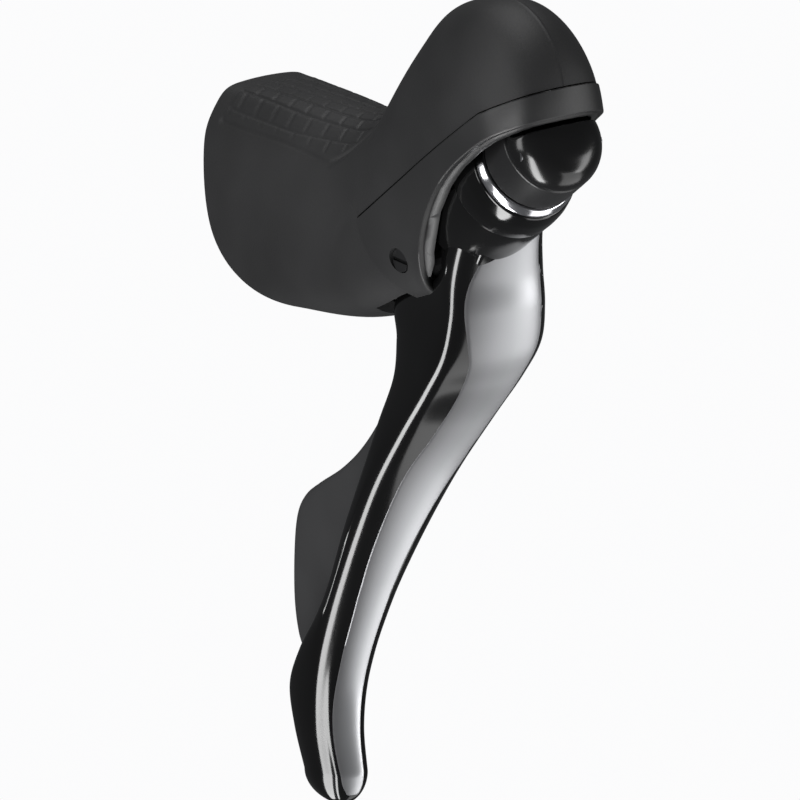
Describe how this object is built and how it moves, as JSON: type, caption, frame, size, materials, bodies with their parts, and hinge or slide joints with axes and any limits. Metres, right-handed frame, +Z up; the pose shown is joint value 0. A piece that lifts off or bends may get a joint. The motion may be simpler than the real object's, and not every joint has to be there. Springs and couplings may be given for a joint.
{
  "type": "brake shift lever",
  "caption": "Right-hand drop-bar brake and shift lever: rubber hood on a hollow bracket, pivoting carrier with shift unit, gloss lever blade and a paddle behind it.",
  "frame": {"origin": "centre of the 24 mm handlebar inside the clamp band", "axes": "+X forward on the bike, +Y to the rider's left, which is the lever's inner side, +Z up"},
  "size_m": [0.1087, 0.0376, 0.1745],
  "materials": {
    "hood_rubber": "matte moulded rubber, fine grain, with a raised tile pattern on the palm rest",
    "bracket_composite": "fine matt fibre-filled moulding",
    "lever_gloss": "gloss black lacquer over moulded carbon",
    "face_silver": "satin silver that darkens to black at the outer edge",
    "cap_gloss": "smooth black lacquer",
    "collar_satin": "satin black anodised",
    "paddle_black": "satin black moulding",
    "trim_chrome": "polished narrow bevel",
    "carrier_alloy": "black anodised forging",
    "drum_alloy": "turned bare alloy",
    "band_steel": "brushed stainless strip",
    "turned_steel": "turned steel",
    "fastener_steel": "oiled screw steel",
    "spring_steel": "drawn spring wire",
    "bush_brass": "bearing brass"
  },
  "bodies": {
    "bracket": {"bracket_body": "bracket_composite", "hood_cover": "hood_rubber", "clamp_band": "band_steel", "clamp_barrel_nut": "fastener_steel", "clamp_bolt": "fastener_steel", "brake_casing_stop": "turned_steel", "shift_casing_stop": "turned_steel", "lever_axle": "turned_steel", "brake_return_spring": "spring_steel"},
    "carrier": {"lever_carrier": "carrier_alloy", "axle_bush_outer": "bush_brass", "axle_bush_inner": "bush_brass", "main_shaft": "turned_steel", "shaft_nut": "fastener_steel", "unit_collar": "collar_satin", "name_cap": "cap_gloss", "cap_screw_outer": "fastener_steel", "cap_screw_inner": "fastener_steel", "lever_return_spring": "spring_steel"},
    "main_lever_body": {"main_lever": "lever_gloss", "hub_trim_ring": "trim_chrome"},
    "paddle_body": {"shift_paddle": "paddle_black"},
    "drum_body": {"winding_drum": "drum_alloy", "ratchet_wheel": "turned_steel"},
    "drive_pawl_body": {"drive_pawl": "turned_steel"},
    "hold_pawl_body": {"hold_pawl": "turned_steel"},
    "hook_body": {"cable_hook": "turned_steel"},
    "reach_screw_body": {"reach_adjust_screw": "fastener_steel"}
  },
  "joints": [
    {"name": "brake_pull", "type": "hinge", "parent": "bracket", "child": "carrier", "pos_m": [0.0565, 0, 0.0026], "axis": [0, 1, 0], "range_deg": [0, 17], "stiffness_Nm_per_rad": 0.6, "springref_deg": -20.05},
    {"name": "lever_swing", "type": "hinge", "parent": "carrier", "child": "main_lever_body", "pos_m": [0.0736, 0, 0.02143], "axis": [0.788, 0, 0.6157], "range_deg": [0, 20], "stiffness_Nm_per_rad": 0.3, "springref_deg": -20.05},
    {"name": "paddle_swing", "type": "hinge", "parent": "main_lever_body", "child": "paddle_body", "pos_m": [0.06147, 0, 0.01195], "axis": [0.788, 0, 0.6157], "range_deg": [0, 15], "stiffness_Nm_per_rad": 0.15, "springref_deg": -20.05},
    {"name": "drum_turn", "type": "hinge", "parent": "carrier", "child": "drum_body", "pos_m": [0.06533, 0, 0.01497], "axis": [0.788, 0, 0.6157], "range_deg": [0, 200]},
    {"name": "drive_pawl_rock", "type": "hinge", "parent": "main_lever_body", "child": "drive_pawl_body", "pos_m": [0.06272, 0.0022, 0.02562], "axis": [0.788, 0, 0.6157], "range_deg": [0, 10], "stiffness_Nm_per_rad": 0.01, "springref_deg": -11.46},
    {"name": "hold_pawl_rock", "type": "hinge", "parent": "carrier", "child": "hold_pawl_body", "pos_m": [0.06494, -0.0086, 0.02278], "axis": [0.788, 0, 0.6157], "range_deg": [-10, 0], "stiffness_Nm_per_rad": 0.01, "springref_deg": 11.46},
    {"name": "hook_swivel", "type": "hinge", "parent": "carrier", "child": "hook_body", "pos_m": [0.0495, 0, 0.0132], "axis": [0, 1, 0], "range_deg": [-20, 20]},
    {"name": "reach_screw_turn", "type": "hinge", "parent": "carrier", "child": "reach_screw_body", "pos_m": [0.04964, 0, 0.02124], "axis": [0.788, 0, 0.6157], "range_deg": [-180, 180]}
  ]
}
